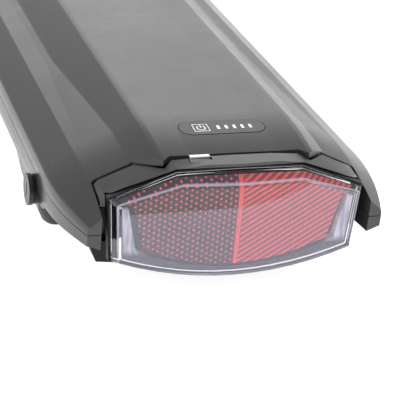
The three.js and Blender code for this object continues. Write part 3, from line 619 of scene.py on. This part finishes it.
def cell_look():
    """Shrink-wrapped round cell: smooth film with faint wrinkles."""
    look = Look("cell_film", IOR=1.46)
    wrinkle = look.noise(300, 4.0, 0.6)
    slow = look.noise(40, 2.0, 0.5)
    film = look.mix(look.ramp(slow, 0.3, 0.7), (0.035, 0.16, 0.36, 1), (0.045, 0.2, 0.42, 1))
    look.join(film, "Base Color")
    look.join(look.ramp(wrinkle, 0.3, 0.7, 0.22, 0.36), "Roughness")
    look.bump(wrinkle, 0.2, 0.0001)
    return look.material


CASE = moulded("case_plastic", (0.036, 0.037, 0.038), 0.30)
BLACK = moulded("black_plastic", (0.006, 0.006, 0.0065), 0.45, 1100, 0.08, 0.1, Specular_IOR_Level=0.22)
PANEL = moulded("panel_film", (0.033, 0.034, 0.035), 0.28, 1100, 0.03, 0.1)
RUBBER = moulded("soft_rubber", (0.016, 0.016, 0.016), 0.72, 1500, 0.35, 0.1)
LOCK_CAP = moulded("lock_cap", (0.012, 0.012, 0.013), 0.34, 1100, 0.06, 0.15, Specular_IOR_Level=0.35)
FUSE = moulded("fuse_plastic", (0.55, 0.03, 0.02), 0.3)
RED_WIRE = moulded("red_insulation", (0.45, 0.015, 0.012), 0.42)
BLACK_WIRE = moulded("black_insulation", (0.012, 0.012, 0.012), 0.45)
SPACER = moulded("spacer_board", (0.42, 0.45, 0.40), 0.6, 700, 0.3)
STEEL = metal("zinc_steel", (0.56, 0.57, 0.58), 0.3)
BRIGHT = metal("bright_metal", (0.80, 0.80, 0.81), 0.24)
BRASS = metal("brass", (0.76, 0.56, 0.22), 0.26)
BOARD = board_look("circuit_board", (0.02, 0.11, 0.05))
LENS = lens_look()
REFLECTOR = reflector_look()
GUIDE = guide_look()
TAB = tab_look()
MARK = frosted_look("mark_white", (0.95, 0.95, 0.95), 0.75)
CELL = cell_look()

SLOT_LOOKS = {
    "case_plastic": CASE, "black_plastic": BLACK, "rubber": RUBBER, "clear_lens": LENS,
    "red_reflector": REFLECTOR, "frosted_guide": MARK, "circuit_board": BOARD, "steel": STEEL,
    "bright_metal": BRIGHT, "panel_plastic": PANEL, "button_plastic": PANEL, "lock_grey": LOCK_CAP,
    "brass": BRASS, "fuse_plastic": FUSE, "red_insulation": RED_WIRE, "black_insulation": BLACK_WIRE,
    "cell_wrap": CELL, "spacer_board": SPACER,
}


def dress_nodes():
    """Gives every CAD node the look of its material slot."""
    for piece in frame["record"]["subparts"]:
        node = frame["nodes"][piece["node"]]
        node.data.materials.clear()
        node.data.materials.append(SLOT_LOOKS[piece["material_slot"]])


# ---------------------------------------------------------------- case
SHELL_START_Y = TAIL_Y + 0.8
INNER_FLOOR_Z = SPLIT_Z - 2     # hollows reach a little below the joint line
CLIP_TOP_Z = 80.0               # above the roof, like CLEAR_TOP_Z
PILL_RADIUS = 5.6


def inner_loft(name, places):
    """The hollow inside the upper shell's wall."""
    return loft(name, "y", [(y, upper_section(y, WALL, INNER_FLOOR_Z)) for y in places])


def make_upper_shell():
    """The roof: hollowed out, opened over the lamp's bay and recessed for the status panel."""
    shell = upper_loft("upper_shell_fine", SHELL_START_Y, SHELL_END_Y, 0, SPLIT_Z + GAP / 2)
    cavity_ends = [NOSE_START_Y, SHELL_END_Y - WALL]
    combine(shell, inner_loft("cavity", stations(CAVITY_BACK_Y, SMOOTH_START_Y, 6) + cavity_ends))
    under = inner_loft("bay", stations(TAIL_Y - 2, BAY_Y, 4))
    clip = block("clip", -BAY_HALF_WIDTH, BAY_HALF_WIDTH, BAY_OPEN_Y, BAY_Y, 0, CLIP_TOP_Z)
    combine(under, clip, "INTERSECT")
    combine(shell, under)
    combine(shell, prism("bay_cut", "z", bay_outline(), 0, CLEAR_TOP_Z))
    half_length, half_width = PANEL_LENGTH / 2, PANEL_WIDTH / 2
    pill = rounded_rectangle(-half_length, half_length, -half_width, half_width, PILL_RADIUS)
    combine(shell, on_roof(prism("recess", "z", pill, -1.2, 3)))
    tidy_faces(shell, 0.3)
    bevel(shell, 0.35, 2, 40)
    settle(shell, "upper_shell", CASE)


def make_case():
    make_upper_shell()
    refined("lower_shell", 0.4, CASE, 2)
    refined("nose_cover", 0.6, BLACK, 3)
    refined("tail_cover", 0.6, BLACK, 3)
    refined("discharge_connector", 0.25, BLACK, 2)


# ---------------------------------------------------------------- lamp
HOOD_CUT = [(0, 57.3), (26.5, 56.9), (52.9, 46.2), (52.9, 20)]
HOOD_CUT_LOW_Z = 10
HOOD_GAP = 1.7              # how far the hood's front edge stays back from the upper shell's
HOOD_REACH_X = 60
FOLD_FRONT_Y, FOLD_BACK_Y = -183.5, -180.6
FOLD_THICKNESS = 1.0
# Right halves of the reflector's folded border: its front edge and its raised back edge.
FOLD_FRONT = [(0, 48.8), (25.1, 49.7), (43.4, 44.4)]
FOLD_BACK = [(0, 53.0), (25.6, 52.9), (48.2, 44.9)]


def lamp_outline(half, low_z, steps=12):
    """Front view of the lamp: shallow peak, slanted flanks and a bowed lower edge."""
    end_x, end_z = half[-1]
    bow = []
    for i in range(1, steps + 1):
        x = end_x * (1 - i / steps)
        bow.append((x, low_z + (end_z - low_z) * (x / end_x) ** 2))
    return mirrored(list(half) + bow)


def make_hood():
    """The hood keeps a dark gap to the shell in front of it and to the lens behind it."""
    hood = node_copy("light_hood")
    shell_gap = bay_outline(HOOD_GAP, HOOD_REACH_X)
    combine(hood, prism("shell_gap", "z", shell_gap, 0, CLEAR_TOP_Z), "INTERSECT")
    combine(hood, prism("lens_gap", "y", lamp_outline(HOOD_CUT, HOOD_CUT_LOW_Z), -190, -160))
    tidy_faces(hood)
    bevel(hood, 0.35, 3)
    settle(hood, "light_hood", CASE)


def make_fold():
    """The strip that carries the prism plate's upper border back and up under the lens."""
    points = []
    faces = []
    for y, half in ((FOLD_FRONT_Y, FOLD_FRONT), (FOLD_BACK_Y, FOLD_BACK)):
        row = [(-x, z) for x, z in reversed(half) if x > 0] + half
        points += [(x, y, z) for x, z in row]
        points += [(x, y, z - FOLD_THICKNESS) for x, z in row]
    width = 2 * len(FOLD_FRONT) - 1
    front, back = 0, 2 * width
    for i in range(width - 1):
        j = i + 1
        faces.append((front + i, front + j, back + j, back + i))
        faces.append((front + width + i, back + width + i, back + width + j, front + width + j))
        faces.append((front + i, front + width + i, front + width + j, front + j))
        faces.append((back + i, back + j, back + width + j, back + width + i))
    for i in (0, width - 1):
        faces.append((front + i, back + i, back + width + i, front + width + i))
    return make_object("fold", points, faces)


def make_reflector():
    """The prism plate, with its upper border folded back under the sloping top of the lens."""
    plate = node_copy("light_reflector")
    combine(plate, make_fold(), "UNION")
    bevel(plate, 0.15, 2)
    settle(plate, "light_reflector", REFLECTOR)


def make_lamp():
    make_hood()
    make_reflector()
    refined("light_housing", 0.25, BLACK, 2)
    refined("light_lens", 0.6, LENS, 3)
    refined("light_guide", 0.3, GUIDE, 2)
    refined("latch_tab", 0.3, TAB, 3)


# ---------------------------------------------------------------- status panel
# Half sizes and levels, millimetres from the panel's middle and from the roof's surface.
SURFACE = 0.05
PANEL_LOW = -0.9
WINDOW_HALF = (0.65, 1.5)
BUTTON_HALF = (3.7, 3.4)
BUTTON_CLEARANCE = 0.15
BUTTON_LOW = -3.2
FLANGE_HALF = (4.4, 4.1)
PEG_HALF = (0.55, 1.4)
MARK_LOW, MARK_HIGH = 0.03, 0.09
FRAME_HALF = (3.15, 2.9)
FRAME_WIDTH, STROKE_WIDTH = 0.26, 0.32
RING_RADIUS, RING_START, RING_END = 1.72, 122, 418
SMALL_BEVEL = 0.12


def around(x, half, radius=None, steps=8):
    """Rectangle around a place on the panel's middle line, square or with rounded corners."""
    edges = (x - half[0], x + half[0], -half[1], half[1])
    return edges if radius is None else rounded_rectangle(*edges, radius, steps)


def flat_line(name, points, width, closed=False):
    """A raised printed line of constant width along points in the panel's plane."""
    count = len(points)
    left, right = [], []
    for i, (x, y) in enumerate(points):
        here = Vector((x, y))
        before = Vector(points[i - 1]) if closed or i > 0 else here
        after = Vector(points[(i + 1) % count]) if closed or i + 1 < count else here
        come, go = here - before, after - here
        come = come.normalized() if come.length > 0 else go.normalized()
        go = go.normalized() if go.length > 0 else come
        along = (come + go).normalized()
        side = Vector((-along.y, along.x)) * (width / 2) / max(0.5, math.cos(come.angle(go) / 2))
        left.append((x + side.x, y + side.y))
        right.append((x - side.x, y - side.y))
    corners = []
    for level in (MARK_LOW, MARK_HIGH):
        corners += [(*place, level) for place in left]
        corners += [(*place, level) for place in right]
    faces = []
    up = 2 * count
    for i in range(count if closed else count - 1):
        j = (i + 1) % count
        faces.append((i, j, count + j, count + i))
        faces.append((up + i, up + count + i, up + count + j, up + j))
        faces.append((i, up + i, up + j, j))
        faces.append((count + i, count + j, up + count + j, up + count + i))
    if not closed:
        for i in (0, count - 1):
            faces.append((i, count + i, up + count + i, up + i))
    return make_object(name, corners, faces)


def arc(cx, cy, radius, start, end, steps=24):
    points = []
    for i in range(steps + 1):
        angle = math.radians(start + (end - start) * i / steps)
        points.append((cx + radius * math.cos(angle), cy + radius * math.sin(angle)))
    return points


def add_mark(obj, name, body):
    """Lays a printed line on the roof and lets it ride with a body."""
    obj.name = name
    obj.data.materials.append(MARK)
    on_roof(obj)
    smooth(obj)
    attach(obj, body)


def make_panel(marks):
    """The pill-shaped panel with a window for the button and one for each light."""
    half = (PANEL_LENGTH / 2 - GAP, PANEL_WIDTH / 2 - GAP)
    panel = prism("panel", "z", around(0, half, PILL_RADIUS - GAP), PANEL_LOW, SURFACE)
    for x in marks:
        combine(panel, block("window", *around(x, WINDOW_HALF), -2, 2))
    combine(panel, prism("button_window", "z", around(BUTTON_X, BUTTON_HALF, 0.9), -2, 2))
    tidy_faces(panel)
    bevel(panel, SMALL_BEVEL, 2, 40)
    on_roof(panel)
    settle(panel, "status_panel", PANEL)


def make_button():
    """The button's cap, with the flange that holds it under the panel and the stem on its switch."""
    half = [size - BUTTON_CLEARANCE for size in BUTTON_HALF]
    cap = prism("cap", "z", around(BUTTON_X, half, 0.8), BUTTON_LOW, SURFACE)
    combine(cap, block("flange", *around(BUTTON_X, FLANGE_HALF), -3.6, -2.75), "UNION")
    combine(cap, bar("stem", "z", 1.2, -4.6, -3.4, BUTTON_X, 0), "UNION")
    bevel(cap, SMALL_BEVEL, 2, 40)
    on_roof(cap)
    settle(cap, "power_button", PANEL)


def make_power_mark():
    """Printed frame with an open ring and a short upright stroke."""
    frame_line = around(BUTTON_X, FRAME_HALF, 0.3, 3)
    add_mark(flat_line("frame", frame_line, FRAME_WIDTH, True), "power_mark_frame", "power_button")
    ring = arc(BUTTON_X, -0.1, RING_RADIUS, RING_START, RING_END)
    add_mark(flat_line("ring", ring, STROKE_WIDTH), "power_mark_ring", "power_button")
    stroke = [(BUTTON_X, 0.1), (BUTTON_X, 1.1), (BUTTON_X, 2.1)]
    add_mark(flat_line("stroke", stroke, STROKE_WIDTH), "power_mark_stroke", "power_button")


def make_light_pipe(marks):
    """One clear bar under the panel, with a peg up through each window."""
    pipe = block("pipe", marks[0] - 1.2, marks[-1] + 1.2, -2.6, 2.6, -3.9, -2.8)
    for x in marks:
        combine(pipe, block("peg", *around(x, PEG_HALF), -3.2, 0.07), "UNION")
    bevel(pipe, 0.1, 2, 40)
    on_roof(pipe)
    settle(pipe, "status_light_pipe", MARK)


def make_status():
    marks = [LED_FIRST_X + i * LED_PITCH for i in range(LED_COUNT)]
    make_panel(marks)
    make_button()
    make_power_mark()
    make_light_pipe(marks)


# ---------------------------------------------------------------- lock and charging socket
def make_side_pieces():
    refined("lock_plug", 0.5, LOCK_CAP, 3)
    refined("lock_barrel", 0.3, BLACK, 2)
    refined("lock_bolt", 0.3, STEEL, 2)
    refined("charge_cover", 0.35, RUBBER, 3)
    refined("charge_cover_anchor", 0.3, RUBBER, 3)
    refined("charge_socket", 0.2, BLACK, 2)


# ---------------------------------------------------------------- studio
FLOOR_REACH = 6000          # millimetres from the middle to each side
FLOOR_Z = -0.2
FLOOR_GLOW = 0.85
WORLD_STRENGTH = 0.68
CAMERA_PLACE = (-0.18053, -0.64370, 0.28175)
CAMERA_YAW, CAMERA_PITCH, CAMERA_ROLL = (math.radians(angle) for angle in (-19.99, 26.20, 5.41))
SENSOR_WIDTH, FOCAL_LENGTH = 36, 121.15


def area_light(name, place, target, size, power):
    """A rectangular softbox; place, target and size are in metres, the power in watts."""
    data = bpy.data.lights.new(name, "AREA")
    data.shape = "RECTANGLE"
    data.size, data.size_y = size
    data.energy = power
    light = bpy.data.objects.new(name, data)
    light.location = place
    light.rotation_euler = (Vector(target) - Vector(place)).to_track_quat("-Z", "Y").to_euler()
    bpy.context.scene.collection.objects.link(light)


def make_floor():
    """A wide white floor that glows a little, so that it stays white in the picture."""
    look = Look("floor_white", Roughness=0.9)
    soft = look.noise(3, 2.0, 0.5)
    look.join(look.mix(soft, (0.86, 0.86, 0.86, 1), (0.88, 0.88, 0.88, 1)), "Base Color")
    look.shader.inputs["Emission Color"].default_value = (1, 1, 1, 1)
    look.shader.inputs["Emission Strength"].default_value = FLOOR_GLOW
    corners = [(-1, -1), (1, -1), (1, 1), (-1, 1)]
    points = [(x * FLOOR_REACH, y * FLOOR_REACH, FLOOR_Z) for x, y in corners]
    floor = make_object("floor", points, [(0, 1, 2, 3)])
    floor.data.materials.append(look.material)


def make_studio():
    make_floor()
    world = bpy.data.worlds.new("studio")
    world.use_nodes = True
    background = world.node_tree.nodes["Background"]
    background.inputs["Color"].default_value = (1.0, 1.0, 1.0, 1)
    background.inputs["Strength"].default_value = WORLD_STRENGTH
    bpy.context.scene.world = world
    area_light("back_softbox", (0.58, 2.43, 1.16), (0, 0, 0.05), (2.5, 1.25), 13)
    area_light("left_softbox", (-2.4, 0.4, 0.75), (0, 0, 0.05), (2.6, 1.2), 9)
    area_light("fill", (-1.2, -0.9, 1.2), (0, -0.1, 0), (1.2, 1.2), 1.5)


def make_camera():
    bpy.context.scene.view_settings.view_transform = "Standard"
    data = bpy.data.cameras.new("photo_camera")
    data.sensor_width = SENSOR_WIDTH
    data.lens = FOCAL_LENGTH
    data.clip_start = 0.01
    camera = bpy.data.objects.new("photo_camera", data)
    turn = Matrix.Rotation(CAMERA_YAW, 4, "Z") @ Matrix.Rotation(math.pi / 2 - CAMERA_PITCH, 4, "X")
    turn = turn @ Matrix.Rotation(CAMERA_ROLL, 4, "Z")
    camera.matrix_world = Matrix.Translation(CAMERA_PLACE) @ turn
    bpy.context.scene.collection.objects.link(camera)
    bpy.context.scene.camera = camera


dress_nodes()
make_case()
make_lamp()
make_status()
make_side_pieces()
make_studio()
make_camera()
